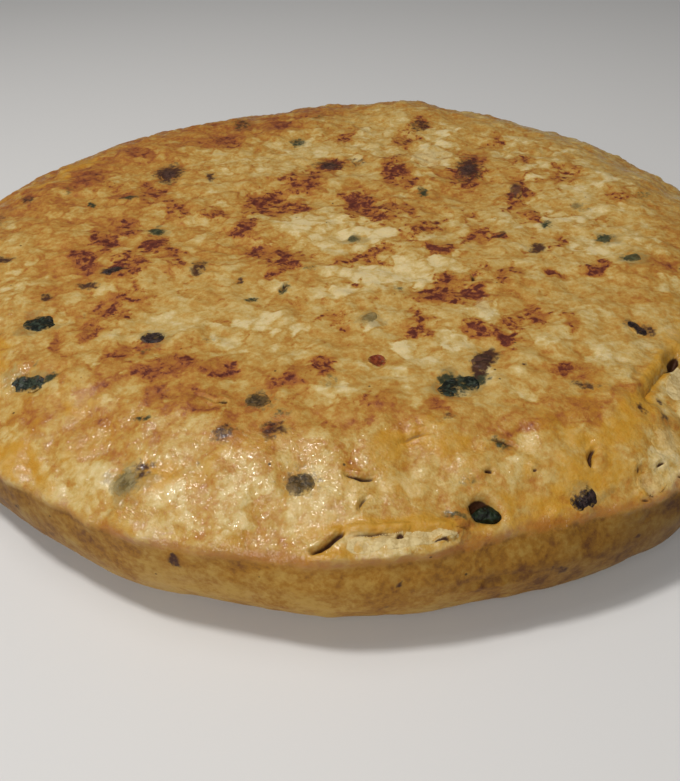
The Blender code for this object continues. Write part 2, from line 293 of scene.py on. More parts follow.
def makeRound():
    # the crust with its flush pieces and fillings fused in, so that egg closes round each of them
    form = roundForm
    fills = []
    for nodeName in flushNodes + list(ledgeNodes):
        swell = form["ledgeSwell" if nodeName in ledgeNodes else "fillSwell"]
        fill = copyOfNode(nodeName, nodeName + "Fill")
        points = readPoints(fill) + swell * mm * readNormals(fill)
        if nodeName == "potato_front":
            back = smoothStep(points[:, 1], form["frontFrom"] * mm, form["frontTo"] * mm)
            points[:, 2] += form["frontRise"] * mm * back * (readNormals(fill)[:, 2] > 0.0)
        writePoints(fill, points)
        fills.append(fill)
    fills.append(makePlug())
    piece = copyOfNode("omelette", "crustRound")
    for fill in fills:
        fill.select_set(True)
    bpy.ops.object.join()
    remesh = piece.modifiers.new("evenGrain", "REMESH")
    remesh.mode = "VOXEL"
    remesh.voxel_size = form["voxel"] * mm
    applyModifiers(piece)
    return piece


def selectFaces(piece, chosen):
    # edit mode with just the faces selected whose points are all chosen
    pick(piece)
    bpy.ops.object.mode_set(mode="EDIT")
    bpy.ops.mesh.select_mode(type="FACE")
    bpy.ops.mesh.select_all(action="DESELECT")
    bpy.ops.object.mode_set(mode="OBJECT")
    for face in piece.data.polygons:
        face.select = all(chosen[corner] for corner in face.vertices)
    bpy.ops.object.mode_set(mode="EDIT")


def flattenBase(piece):
    # the flat underside is closed with one large face, which is then cut into triangles
    selectFaces(piece, ~above(readPoints(piece), 0.02))
    bpy.ops.mesh.delete(type="FACE")
    bpy.ops.mesh.select_mode(type="EDGE")
    bpy.ops.mesh.select_non_manifold()
    bpy.ops.mesh.edge_face_add()
    bpy.ops.mesh.quads_convert_to_tris()
    bpy.ops.mesh.normals_make_consistent(inside=False)
    bpy.ops.object.mode_set(mode="OBJECT")


def refineAt(piece, spots, cuts):
    # more faces along the spots, so that fine slits hold their shape
    endMargin, sideMargin = 2.4, 4.4
    points = readPoints(piece)
    near = np.zeros(len(points), bool)
    for spot in spots:
        along, across = markOffsets(points, spot)
        near |= (np.abs(along) < 1.0 + endMargin / spot[2]) & (np.abs(across) < 1.0 + sideMargin / spot[3])
    selectFaces(piece, near & above(points, roundForm["wallTop"]))
    bpy.ops.mesh.subdivide(number_cuts=cuts)
    bpy.ops.object.mode_set(mode="OBJECT")


def smoothRound(piece):
    # the torn places keep more of their edges
    points = readPoints(piece)
    torn = nearSpot(points, roundForm["tearSpot"]) & (points[:, 1] < roundForm["tearBefore"] * mm)
    torn |= nearSpot(points, roundForm["hollowSpot"])
    relaxPoints(piece, np.where(torn, roundForm["tornShare"], 1.0), roundForm["smoothSteps"])
    points = readPoints(piece)
    points[:, 2] = np.maximum(points[:, 2], 0.0)
    writePoints(piece, points)


def levelUnderPieces(piece):
    # the crust goes on under each flush piece, a little lower than round it
    form = roundForm
    points = readPoints(piece)
    facing = readNormals(piece)[:, 2] > 0.5
    rims = np.zeros(len(points))
    for nodeName in flushNodes:
        share, centre, reach = pieceShare(points, nodeName, form["bedMargin"])
        level = levelRound(points, facing, centre, reach + form["bedRing"] * mm) - form["bedDepth"] * mm
        covered = smoothStep(share, *form["bedFade"]) * above(points, form["bedFrom"])
        points[:, 2] += covered * (level - points[:, 2])
        rims = np.maximum(rims, smoothStep(share, *form["rimFade"]) * above(points, form["bedFrom"]))
    writePoints(piece, points)
    relaxPoints(piece, rims, form["bedSteps"])


def closeCrust(piece):
    # crust drawn level again over the ends of the tear, with the walls inside them
    form = roundForm
    points = readPoints(piece)
    facing = readNormals(piece)[:, 2] > 0.5
    radius = np.hypot(points[:, 0], points[:, 1]) / mm
    inner = np.maximum(facing, smoothStep(radius, *form["closeWithin"])) * above(points, form["wallTop"])
    healed = np.zeros(len(points))
    for x, y, halfLength, halfWidth, turn, depth in closings:
        along, across = markOffsets(points, (x, y, 2.0 * halfLength, 2.0 * halfWidth, turn))
        centre = np.array([x, y, form["topFrom"]]) * mm
        level = levelRound(points, facing, centre, (halfLength + form["closeRing"]) * mm) - depth * mm
        within = smoothStep(np.hypot(along, across), *form["closeFade"]) * inner
        points[:, 2] += within * np.maximum(level - points[:, 2], 0.0)
        healed = np.maximum(healed, within)
    writePoints(piece, points)
    relaxPoints(piece, healed, form["closeSteps"])


def moveHole(points):
    # the round hole and its piece lie a little further in, up the slope of the shoulder
    away = np.hypot(points[:, 0] / mm - holeMove["at"][0], points[:, 1] / mm - holeMove["at"][1])
    shift = holeMove["inward"] * mm * np.exp(-(away / holeMove["reach"]) ** 2)
    shift *= above(points, roundForm["bedFrom"])
    points[:, 1] += shift
    points[:, 2] += holeMove["upShare"] * shift
    return points


def shapeHollow(piece):
    # a flap with a dark gap under its edge, and the filling that lies nearly level beside it
    form = hollowForm
    points = readPoints(piece)
    facing = readNormals(piece)[:, 2] > 0.5
    along, across = markOffsets(points, (*form["at"], 2.0, 2.0, form["turn"]))
    centre = np.array([*form["at"], form["aboutHeight"]]) * mm
    level = levelRound(points, facing, centre, (form["half"][0] + form["ring"]) * mm)
    edge = across + form["ragged"] * cloudField(points, form["raggedSize"], 6.6, 2)
    flap = smoothStep(edge, *form["flapEdge"])
    gap = smoothStep(edge, *form["gapEdge"]) * smoothStep(np.abs(along), *form["gapEnds"])
    gap *= form["gapDepth"] + form["gapDeeper"] * smoothStep(along, *form["deeperFrom"])
    filling = -form["potatoDepth"] * smoothStep(-across, *form["potatoFade"])
    rise = form["flapRise"] * np.exp(-((across - form["flapCrest"]) / form["flapWidth"]) ** 2)
    height = level + mm * ((filling - gap) * (1.0 - flap) + rise * flap)
    halfAcross = np.where(across > 0.0, form["half"][2], form["half"][1])
    share = np.hypot(along / form["half"][0], across / halfAcross)
    within = smoothStep(share, *form["fade"]) * above(points, roundForm["bedFrom"])
    points[:, 2] += within * (height - points[:, 2])
    writePoints(piece, points)


def shapeRelief(piece):
    # swells, lumps with creases between them, knobs and grain, and how high each point then is
    form = roundForm
    points = readPoints(piece)
    normals = readNormals(piece)
    skin = heightFade(points, form["baseHeight"], form["baseTo"])
    top = heightFade(points, form["wallTop"], form["topFrom"])
    patches = smoothStep(cloudField(points, form["patchSize"], 5.3, 2), -0.25, 0.3)
    lumps = (cellField(points, form["lumpSize"], 2.1) - 0.75) * (0.35 + 0.65 * patches)
    swells = cloudField(points, form["swellSize"], 8.8, 2)
    knobs = cloudField(points, form["knobSize"], 3.9, 2)
    grains = cloudField(points, form["grainSize"], 1.2, 1)
    fine = form["lumpRise"] * lumps + form["knobRise"] * knobs + form["grainRise"] * grains
    rise = skin * (form["swellRise"] * swells * (0.4 + 0.6 * top) + fine * (0.28 + 0.72 * top))
    rim = np.exp(-((points[:, 2] / mm - form["rimHeight"]) / form["rimHalf"]) ** 2)
    rise += form["rimRise"] * rim * smoothStep(cloudField(points, form["rimSize"], 4.4, 3), -0.3, 0.4)
    for lip in lips:
        along, beside = bentOffsets(points, lip)
        rise += lip[5] * top * np.exp(-beside ** 2) * np.clip(1.0 - along ** 2, 0.0, 1.0) ** 0.7
    points += normals * (rise * mm)[:, None]
    points[:, 2] = np.maximum(points[:, 2], 0.0)
    writePoints(piece, points)
    writeMask(piece, "crestShare", 0.5 + 0.75 * fine)


def slitShare(points, slit):
    # 1 along the middle of a slit, how far a point lies beside it in half widths, and 0 past its ends
    along, beside = bentOffsets(points, slit)
    ends = np.clip(1.0 - along ** 2, 0.0, 1.0) ** 0.6
    return np.exp(-1.2 * np.abs(beside) ** 3) * ends, beside, ends


def pressSlits(piece):
    # each slit has a low lip on one side
    form = roundForm
    points = readPoints(piece)
    upper = heightFade(points, *form["slitFade"])
    for slit in slits:
        groove, beside, ends = slitShare(points, slit)
        lip = np.exp(-((beside - form["lipAt"]) ** 2) / 0.9) * ends
        points[:, 2] += upper * mm * (form["slitLip"] * lip - slit[5] * groove)
    writePoints(piece, points)


def pocketShade(points, facing):
    # painted shade, 1 deep in the torn places, from how far a point lies under the crust round it
    form = roundForm
    field = np.zeros(len(points))
    for pocket in pockets:
        near = nearSpot(points, pocket)
        centre = np.array([pocket[0] * mm, pocket[1] * mm, points[near & facing, 2].mean()])
        depth = levelRound(points, facing, centre, (pocket[2] + form["pocketRing"]) * mm) - points[:, 2]
        field = np.maximum(field, near * smoothStep(depth / mm, *form["pocketDeep"]))
    return field * above(points, form["slitFade"][0])


roundPiece = makeRound()
print("round remeshed:", len(roundPiece.data.vertices), "points")
smoothRound(roundPiece)
flattenBase(roundPiece)
levelUnderPieces(roundPiece)
refineAt(roundPiece, ((*hollowForm["at"], 24.0, 14.0, hollowForm["turn"]),), 1)
refineAt(roundPiece, [slit for slit in slits if slit[7] >= 0.5], 2)
closeCrust(roundPiece)
writePoints(roundPiece, moveHole(readPoints(roundPiece)))
shapeHollow(roundPiece)
shapeRelief(roundPiece)
pressSlits(roundPiece)
print("round shaped:", sum(len(face.vertices) - 2 for face in roundPiece.data.polygons), "triangles")


# the marks in the crust, each with x, y, length, width, turn and strength, seared ones first

searMarks = (
    (5, 13, 12, 9, 60, 1), (-24, 12, 16, 8, 70, 0.9), (-15, 10, 12, 10, 20, 0.85), (-27, -5, 11, 7, 55, 1),
    (-23, -19, 8, 5, 100, 1), (-16, -24, 10, 9, 40, 0.9), (-18, -34, 11, 3, 68, 0.9), (-36, 5, 7, 6, 60, 0.8),
    (-12, 28, 18, 13, 70, 0.65), (-3, 40, 16, 11, 60, 0.7), (17, 34, 22, 7, 80, 0.8),
    (23, 27, 12, 5, 110, 0.75), (42, 32, 24, 9, 78, 0.8), (54, 12, 22, 8, 70, 0.8), (72, 28, 20, 11, 65, 0.6),
    (12, 3, 16, 14, 20, 0.8), (22, -9, 14, 8, 60, 0.75), (6, -24, 18, 7, 30, 0.85), (27, -22, 9, 6, -30, 0.8),
    (37, -13, 11, 5, 60, 0.85), (43.5, -14, 4.5, 4, 0, 0.9), (38, -4, 9, 5, 80, 0.6), (29, -3, 5, 5, 40, 0.8),
    (3, -38, 7, 3, -20, 0.9), (25, -46, 14, 7, -10, 0.9), (33, -44, 8, 6, 30, 1), (26, -38, 9, 6, 80, 0.8),
    (18, -58, 11, 5.5, 85, 1), (30, -61, 7, 5, -50, 1), (36, -64, 10, 7, -35, 1), (39, -59, 7, 6, 60, 0.85),
    (45.5, -56, 9, 7, 60, 0.85), (52, -60, 11, 4, 65, 0.85), (65, -35, 11, 5, 28, 0.95),
    (53.5, -37, 7, 5, -10, 0.9), (40, -37, 12, 9, 0, 0.55), (60, -17, 12, 6, 70, 0.6),
    (72, -8, 14, 7, 50, 0.6), (84, -33, 11, 8, 30, 0.6), (55, -3, 8, 5, 80, 0.7), (-57, 18, 13, 6, -70, 0.8),
    (-49, 8, 16, 6, -75, 0.7), (-60, -4, 10, 6, -60, 0.85), (-65, -14, 15, 6, -70, 0.85),
    (-51, -16, 10, 5, -65, 0.95), (-68, -25, 12, 5, -65, 0.9), (-56, -26, 17, 9, -70, 0.7),
    (-45, -25, 18, 8, -75, 0.6), (-52, -43, 9, 5, -15, 0.6), (-58, -57, 12, 9, -40, 0.72),
    (-55, -49, 10, 7, -70, 0.64), (-65, -64, 10, 4, -50, 0.64), (-71, -68, 7, 3, 0, 0.48),
    (-48, -67, 12, 8, 30, 0.72), (-44, -76, 18, 4, 25, 0.76), (-36, -73, 13, 7, 0, 0.76),
    (-25, -76.5, 10, 4, 5, 0.76), (-36, -83, 16, 7, 0, 0.56), (-49, -88.5, 7, 3, -20, 0.64),
    (-27, -90, 22, 2.4, 0, 0.6), (-11, -81, 12, 10, 40, 0.64), (-5, -75, 7, 4.5, -30, 0.8),
    (-9, -88, 9, 6, 0, 0.52), (-1, -57, 6, 4, -50, 0.72), (-84, -42, 8, 4, -10, 0.56),
    (4, -88, 10, 5, 0, 0.68), (3, -94, 26, 4, 2, 0.6), (33, -95, 20, 3, -6, 0.65), (19, -90, 8, 4, -40, 0.7),
    (1, -102, 8, 5, 60, 0.6), (46, -78, 8, 4, 0, 0.85), (60, -84, 14, 4, 30, 0.7), (51, -90, 22, 4, 15, 0.6),
    (52, -78, 14, 4, 30, 0.45), (-67, -84, 12, 5, -25, 0.44), (-14, -95, 8, 6, 0, 0.64),
    (-24, -95.5, 7, 6, 0, 0.64), (-31, -89, 8, 5, 0, 0.48), (-82, 34, 14, 7, -60, 0.55),
    (-70, 22, 16, 6, -65, 0.5), (70, -84, 8, 4, 10, 0.5), (56, 60, 18, 9, 60, 0.5), (24, 62, 14, 9, 90, 0.7),
    (-40, 62, 16, 10, 120, 0.5), (-70, 52, 16, 9, 130, 0.45), (4, 66, 14, 9, 90, 0.45),
    (84, 10, 16, 7, 70, 0.5), (67.4, -79.4, 8, 2.4, 56, 0.6), (68.6, -74.8, 4, 2.2, 50, 0.6),
    (30, 76, 12, 8, 80, 0.6), (-20, 76, 13, 8, 100, 0.5), (60, 40, 16, 8, 70, 0.55),
)
# broad browner zones
brownZones = (
    (-45, 78, 120, 40, 32, 1.3), (35, 96, 110, 20, -18, 0.4), (-92, 30, 60, 40, 70, 1),
    (-70, 10, 60, 40, 70, 0.7), (-72, -28, 44, 28, -60, 0.7), (-35, -15, 60, 36, -50, 0.5),
    (-38, -80, 60, 26, 5, 0.6), (20, 25, 90, 40, 20, 0.45), (45, -45, 60, 22, -15, 0.4),
    (-8, 22, 60, 26, 10, 0.35), (85, -30, 60, 24, 75, 0.4), (30, -90, 60, 12, 0, 0.35),
    (-60, 40, 50, 30, 40, 0.5),
)
# smooth egg without potato near the surface
yolkMarks = (
    (14, -98, 20, 7, 10, 0.6), (46, -101, 12, 14, 60, 0.6), (58, -90, 18, 7, 40, 0.6),
    (36, -108, 14, 6, 15, 0.8), (-36.5, -103.5, 7, 6, 0, 0.8), (-84, -62, 20, 8, -45, 0.7),
    (-95, -40, 26, 8, -62, 0.6), (-88, 40, 30, 9, 62, 0.6), (-70, -92, 26, 6, -32, 0.7),
    (2, -92, 14, 6, 0, 0.4), (-56, -84, 12, 6, 0, 0.4), (80, -60, 12, 20, 0, 0.5),
)
# pale potato near the surface
paleMarks = (
    (-22, -112, 16, 5, -8, 0.6), (31, 45, 24, 20, 80, 1), (-12, -2, 16, 13, 0, 0.9), (8, -5, 9, 8, 30, 0.8),
    (34, -52, 12, 7, 80, 1), (71, 16, 9, 7, 60, 0.8), (63, -3, 11, 9, 30, 0.8), (47, -6, 13, 6, 75, 0.9),
    (66, -24, 13, 10, 60, 0.7), (13, -33, 26, 18, 20, 1.2), (0, -45, 20, 10, 0, 0.9),
    (1, -27, 14, 10, 0, 0.7), (11, -17, 11, 7, 70, 0.9), (26, -28, 7, 5, -40, 0.8),
    (-56, -77, 12, 8, 10, 0.8), (-28, -66, 16, 8, 10, 0.6), (-23, -108, 26, 8, -8, 0.6),
    (-52, -101, 20, 9, -30, 0.7), (18, -70, 26, 14, 0, 0.45), (-15, -57, 24, 12, 0, 0.5),
    (-3, -81, 8, 6, 60, 0.7), (63, -99, 14, 10, 30, 0.8), (50, -72, 12, 7, 20, 0.6), (20, -99, 30, 7, 0, 0.4),
    (-76, -64, 10, 7, -30, 0.7), (-66, -47, 10, 7, -60, 0.5), (-84, -34, 16, 9, -60, 0.6),
    (-30, 40, 18, 10, 80, 0.5), (5, 52, 16, 8, 85, 0.6), (60, 30, 14, 8, 70, 0.5),
    (-70, -95, 12, 7, -35, 0.6), (39, -86, 14, 7, 0, 0.5), (-70, -88, 16, 5, -25, 0.6),
    (8, -62, 11, 7, 90, 0.7), (20, 12, 12, 9, 60, 0.6), (-20, -13, 9, 7, 60, 0.7), (-16, -24, 10, 8, 30, 0.5),
    (64, 44, 34, 26, -50, 0.5), (48, 62, 34, 18, -30, 0.5), (80, 22, 18, 14, 0, 0.5),
    (5, -10, 40, 26, 0, 0.5),
)
# egg and potato along the tear and the flap, where they have clear edges
tearYolk = (
    (8.6, -114.4, 25, 2.6, 2, 1.1), (-3.5, -119.2, 9, 2.4, 8, 0.8), (66.8, -75.9, 18, 3.2, 50, 1.1),
)
tearPale = (
    (8, -118, 29, 3.8, 3, 1.6), (71.2, -79.4, 20, 6.6, 50, 1.8),
)
# marks on the side wall, with the height in place of y
wallMarks = (
    (-32.7, 20.2, 2.2, 3.6, 0, 1.3), (40.2, 14.2, 3, 2.2, 0, 1), (38.6, 15.6, 2, 1.4, 0, 0.8),
    (8.8, 17.9, 1.3, 1.2, 0, 1), (11.6, 16.2, 1, 0.9, 0, 0.7), (66.6, 9.4, 3.4, 6, 0, 0.9),
    (7, 11.8, 4.4, 1.6, 0, 0.55), (-3, 15.2, 1.6, 4, 0, 0.4), (-67.9, 17.2, 2, 2.6, 0, 0.8),
    (14.8, 18.8, 2.6, 1.6, 0, 0.5), (-33.6, 16, 2.4, 1.8, 0, 0.5), (56, 17, 1.2, 1.2, 0, 0.8),
    (27, 9, 1.1, 1, 0, 0.6), (-14, 8, 4, 1.2, 0, 0.35), (-52, 12, 2.2, 1.4, 0, 0.5), (88, 14, 4, 3, 0, 0.8),
    (-92, 12, 3.6, 2.4, 0, 0.7),
)
# small green and plum specks that lie flush in the crust
greenSpecks = (
    (-41.5, -89.7, 5.6, 1.5, -4, 1.1), (-74.5, 11, 5, 2.2, -68, 1), (-64, 15, 6, 4, -15, 1),
    (25.5, 17, 7, 3.6, 100, 1), (57.5, -8.5, 7, 3.4, 70, 1), (-22.7, -45, 3.6, 2.6, 30, 1),
    (-14.6, -40, 6, 2.2, 66, 0.8), (14.5, -42, 3.4, 3, 0, 0.7), (-45, -67.6, 4, 3.6, 90, 0.7),
    (-8.5, -30, 5, 4, 90, 0.7), (-14, 61, 8, 5, 90, 0.9), (-84, 21, 6, 3, -60, 0.6),
    (19, -112.3, 5, 3, 0, 0.7), (30, -98.2, 5, 3, -20, 0.8), (-13, -90.5, 5, 4, 0, 0.5),
    (-30, -64, 6, 5, 0, 0.35), (91, 10, 7, 5, 40, 0.6), (-3, -80, 5, 3.4, 40, 0.5),
    (22.6, -105.8, 4, 3, 0, 0.5), (-7, 84, 8, 6, 90, 0.6), (-68, -70, 3, 2, 0, 0.5), (71, 2, 8, 6, 40, 0.4),
    (-43, -97, 6, 4, 0, 0.3), (24.3, -81.4, 4, 4.6, 0, 1.2), (28, -80, 4.4, 4, 0, 1.1),
    (20.6, -85.8, 4, 2, 0, 0.7), (21.4, -80.2, 4.4, 4, 0, 1), (-64.2, -74.8, 4.6, 2.4, 0, 1),
    (-52.5, -6, 6.2, 6.4, 0, 0.8), (71.5, -17.6, 5.4, 7, -30, 0.8), (75, -30.2, 6.4, 5, 0, 0.7),
)
plumSpecks = (
    (-55, 35.5, 9.4, 17, 0, 1), (41.5, 33, 9, 18, -10, 1), (-3, 41, 12, 9, 0, 0.8), (6, 43, 9, 6, 0, 0.6),
    (54, 14, 8, 12, -20, 0.6), (65.6, -60.2, 5, 4, 0, 0.9), (69.2, -62, 3.8, 5, 0, 0.9),
    (-18, -86, 8, 7.6, 0, 0.6), (-9, -105.6, 8.4, 6.4, 0, 0.6), (-59.5, -29.6, 7.4, 5.2, 0, 0.85),
    (-41, 31, 7, 3.4, -75, 1), (52.5, -22, 6.5, 4.2, 75, 1), (-64, -37, 6.4, 3.2, -15, 1),
    (-73, -43, 4.6, 3.4, -60, 1), (-95.5, 17, 7, 4, -60, 0.9), (-37, -28.5, 8, 5, 80, 0.8),
    (-14, -95, 6, 5, 30, 0.85), (-24, -95.5, 5.4, 4.4, 0, 0.8), (49.5, -82.8, 6, 2.6, -15, 0.8),
    (-90, -22, 6, 3.6, -40, 0.9), (-101, 6, 9, 4, -60, 0.7), (-26, -35.5, 3.2, 3, 0, 0.9),
    (44, -14, 3.6, 3.4, 0, 0.8), (60, -88.4, 3.4, 2.6, 0, 0.8), (20.4, -92.6, 3, 3, 0, 0.7),
    (64.6, -90, 3.4, 3, 0, 0.7), (-35, 80, 14, 8, 100, 0.8), (30, 73, 12, 8, 75, 0.8),
    (24, 60, 8, 5, 90, 0.6), (-39.4, -101, 4.4, 4, 0, 0.8), (28.8, -76.2, 7, 3.6, 62, 1.3),
    (30.8, -72.4, 8.4, 5.4, 55, 1.1), (-62, -51, 3, 2, 0, 0.6), (38, -76.5, 2.2, 1.6, 0, 0.9),
    (4.2, -93.4, 1.8, 1.6, 0, 0.9), (-29, -101, 2.4, 1.8, 0, 0.5), (65, -85, 1.8, 1.6, 0, 0.8),
    (-81, -57, 3, 2, 0, 0.6),
)
# pieces with a greenish seam of egg round them
haloNodes = ["courgette_%d" % number for number in (1, 2, 3, 4, 7, 8, 9, 10, 11, 12, 14)]


def pieceHalo(points):
    # 1 over a courgette piece, falling off round it
    field = np.zeros(len(points))
    for nodeName in haloNodes:
        field = np.maximum(field, smoothStep(pieceShare(points, nodeName, 0.6)[0], 1.30, 0.85))
    return field


def paintSkin(piece):
    # every mask that the crust's colours need, on the crust and on the pieces whose rims egg covers
    points = readPoints(piece)
    x, y, height = (points / mm).T
    radius = np.hypot(x, y)
    facing = smoothStep(readNormals(piece)[:, 2], 0.15, 0.5) * smoothStep(height, 20.0, 25.0)
    ragged = warped(warped(points, 5.0, 3.2, 14.2), 2.2, 1.3, 22.9)
    edged = warped(points, 1.8, 0.4, 9.4)
    mild = warped(points, 2.6, 0.8, 17.3)
    tearEgg = ovalField(edged, tearYolk)
    pale = np.maximum(ovalField(ragged, paleMarks), ovalField(edged, tearPale) * (height > 21.0))
    wall = ovalField(mild[:, (0, 2, 1)], wallMarks) * (mild[:, 1] < 0.0)
    flapSide = 0.8 * (x > 60.0) * (height > 24.0)
    crease = np.exp(-((height - 23.6) / 1.5) ** 2)
    # painted shade in the slits, as strong as each slit's last column
    grooveShade = np.max([slit[7] * slitShare(points, slit)[0] for slit in slits], axis=0)
    masks = {
        "sear": ovalField(ragged, searMarks) * facing,
        "brown": ovalField(points, brownZones) * facing,
        "pale": pale * (1.0 - np.clip(tearEgg, 0.0, 1.0)) * np.maximum(facing, flapSide),
        "yolk": np.maximum(ovalField(ragged, yolkMarks), tearEgg) * facing,
        "halo": pieceHalo(ragged) * facing,
        "green": ovalField(mild, greenSpecks) * facing,
        "plum": np.maximum(ovalField(mild, plumSpecks) * facing, wall),
        # painted shade: darker towards the right and on the far left; it darkens the side wall's colour and
        # lessens the wet coat
        "paintedShade": smoothStep(x - 0.3 * y, 30.0, 110.0) + 0.60 * smoothStep(-x, 30.0, 80.0),
        "plateau": smoothStep(radius, 92.0, 62.0) * facing,
        "shoulder": smoothStep(radius, 84.0, 102.0) * facing,
        "side": smoothStep(height, 25.5, 20.5),
        "low": smoothStep(height, 19.0, 2.0),
        "edge": crease * (0.25 + 0.75 * smoothStep(x, -80.0, -45.0)),
        "slit": grooveShade * (height > roundForm["wallTop"]),
    }
    for maskName, values in masks.items():
        writeMask(piece, maskName, values)


paintSkin(roundPiece)
# painted shade deep in the torn places
writeMask(roundPiece, "deep", pocketShade(readPoints(roundPiece), readNormals(roundPiece)[:, 2] > 0.3))
print("round painted")


# materials

def feed(tree, node, values):
    # a link or a plain value for each named input, where a tuple is a colour
    for inputName, value in values.items():
        socket = node.inputs[inputName]
        if isinstance(value, bpy.types.NodeSocket):
            tree.links.new(value, socket)
        else:
            socket.default_value = (*value, 1.0) if isinstance(value, tuple) else value


def addNode(tree, kind, values, **settings):
    node = tree.nodes.new(kind)
    for settingName, setting in settings.items():
        setattr(node, settingName, setting)
    feed(tree, node, values)
    return node


def mixColour(tree, factor, first, second):
    return addNode(tree, "ShaderNodeMix", {0: factor, 6: first, 7: second}, data_type="RGBA").outputs[2]


def calc(tree, operation, first, second=0.0, third=0.0):
    return addNode(tree, "ShaderNodeMath", {0: first, 1: second, 2: third}, operation=operation).outputs[0]


def ramp(tree, value, low, high, top=1.0):
    # 0 below low, top above high, smooth between
    values = {"Value": value, "From Min": low, "From Max": high, "To Max": top}
    return addNode(tree, "ShaderNodeMapRange", values, interpolation_type="SMOOTHSTEP").outputs["Result"]


def noiseNode(tree, place, size, detail=3.0, rough=0.55, twist=0.0, spread=0.16):
    # size is the width of one blotch in mm, spread is half the span stretched out to 0..1
    cloud = addNode(tree, "ShaderNodeTexNoise",
                    {"Vector": place, "Scale": 1.0 / (size * mm), "Detail": detail,
                     "Roughness": rough, "Distortion": twist})
    return ramp(tree, cloud.outputs["Fac"], 0.5 - spread, 0.5 + spread)


def maskNode(tree, maskName):
    return addNode(tree, "ShaderNodeAttribute", {}, attribute_name=maskName).outputs["Fac"]


def weighed(tree, terms):
    # the sum of value times weight
    total = 0.0
    for value, weight in terms:
        total = calc(tree, "MULTIPLY_ADD", value, weight, total)
    return total


def scaled(tree, value, field, slope, start=1.0):
    # value times start plus slope times field
    return calc(tree, "MULTIPLY", value, calc(tree, "MULTIPLY_ADD", field, slope, start))


def newMaterial(name):
    material = bpy.data.materials.new(name)
    material.use_nodes = True
    tree = material.node_tree
    shader = tree.nodes["Principled BSDF"]
    place = tree.nodes.new("ShaderNodeTexCoord").outputs["Object"]
    return material, tree, shader, place


def bumpNode(tree, height, distance, strength, before=None):
    bump = addNode(tree, "ShaderNodeBump",
                   {"Height": height, "Distance": distance * mm, "Strength": strength})
    if before is not None:
        feed(tree, bump, {"Normal": before})
    return bump.outputs["Normal"]


# the crust's colour along one scale, from burnt to cream
crustScale = (
    (0.00, (0.065, 0.010, 0.006)),
    (0.12, (0.130, 0.027, 0.013)),
    (0.25, (0.285, 0.088, 0.019)),
    (0.40, (0.370, 0.158, 0.024)),
    (0.55, (0.430, 0.240, 0.050)),
    (0.70, (0.490, 0.330, 0.104)),
    (0.85, (0.550, 0.408, 0.170)),
    (1.00, (0.620, 0.490, 0.250)),
)
# and the side wall's
sideScale = (
    (0.0, (0.140, 0.046, 0.008)),
    (0.5, (0.325, 0.146, 0.013)),
    (1.0, (0.440, 0.260, 0.052)),
)
# the noises in the crust, as noiseNode takes them: size, detail, roughness, twist, spread
crustNoises = {
    "broad": (17.0, 3.0), "patchy": (6.5, 4.0, 0.6, 0.5), "middle": (3.2, 4.0, 0.62, 0.4),
    "fleck": (2.7, 2.5, 0.55, 0.4), "dash": (1.4, 3.0, 0.60, 0.4), "fine": (1.2, 3.0, 0.6),
    "tiny": (0.55, 2.0), "pebble": (1.3, 2.0, 0.5), "vein": (5.0, 4.0, 0.6, 0.8, 0.3),
}
crustMasks = ("crestShare", "sear", "plateau", "brown", "shoulder", "pale", "yolk", "halo", "paintedShade", "side",
              "low", "edge", "green", "plum")
# how much of each field goes into a share of the crust's look, then what ramp takes: low, high, top
crustShares = {
    "island": ({"pale": 0.50, "patchy": 0.26, "middle": 0.16, "lump": 0.32, "seam": -0.12}, 0.43, 0.90),
    "light": ({"broad": 0.06, "patchy": 0.09, "middle": 0.18, "fine": 0.16, "crestShare": 0.18, "lump": 0.12,
               "island": 0.25, "seam": -0.06, "brown": -0.22, "plateau": 0.085, "whole": 0.268},),
    "soft": ({"sear": 0.68, "patchy": 0.28, "middle": 0.25, "plateau": 0.15, "brown": 0.22, "seam": 0.16,
              "lump": -0.12}, 0.38, 0.98),
    "core": ({"sear": 0.52, "fleck": 0.40, "dash": 0.24, "plateau": 0.12, "seam": 0.08,
              "lump": -0.10}, 0.62, 1.00),
    # the side wall's tone, darker where the painted shade lies
    "wall": ({"broad": 0.30, "patchy": 0.28, "middle": 0.27, "fine": 0.32, "crestShare": 0.36, "lump": 0.16,
              "low": 0.16, "paintedShade": -0.30, "whole": -0.19},),
    "wet": ({"broad": 0.30, "patchy": 0.25, "shoulder": 0.52, "core": -0.20, "slit": -0.80, "yolk": -0.16,
             "edge": 0.35, "paintedShade": -0.25},),
    "pebbles": ({"pebble": 0.75, "tiny": 0.40},),
    "yolkTint": ({"yolk": 0.60, "shoulder": 0.30, "patchy": 0.42}, 0.50, 0.95, 0.70),
    "haloTint": ({"halo": 0.70, "fine": 0.25, "middle": 0.15}, 0.35, 1.05, 0.42),
    "edgeTint": ({"edge": 0.60, "middle": 0.30, "fine": 0.20}, 0.50, 1.00, 0.75),
    "greenTint": ({"green": 0.75, "fine": 0.32, "middle": 0.15}, 0.48, 0.96, 0.97),
    "plumTint": ({"plum": 0.75, "fine": 0.32, "middle": 0.15}, 0.48, 0.96, 0.97),
    "speckTint": ({"specks": 0.80},),
    # painted shade in the slits and torn places
    "slitShadeTint": ({"slit": 1.00}, 0.25, 0.65),
    # painted shade on the side wall
    "paintedShadeTint": ({"paintedShade": 0.60},),
    "sideTint": ({"side": 1.00}, 0.25, 0.75),
}
crustTints = {
    "yolkTint": (0.490, 0.245, 0.016), "haloTint": (0.170, 0.115, 0.038), "edgeTint": (0.310, 0.100, 0.008),
    "greenTint": (0.020, 0.027, 0.012), "plumTint": (0.048, 0.014, 0.008), "speckTint": (0.032, 0.014, 0.006),
    # colours of the painted shade in the slits and torn places, and on the side wall
    "slitShadeTint": (0.045, 0.014, 0.003), "paintedShadeTint": (0.030, 0.018, 0.006),
}
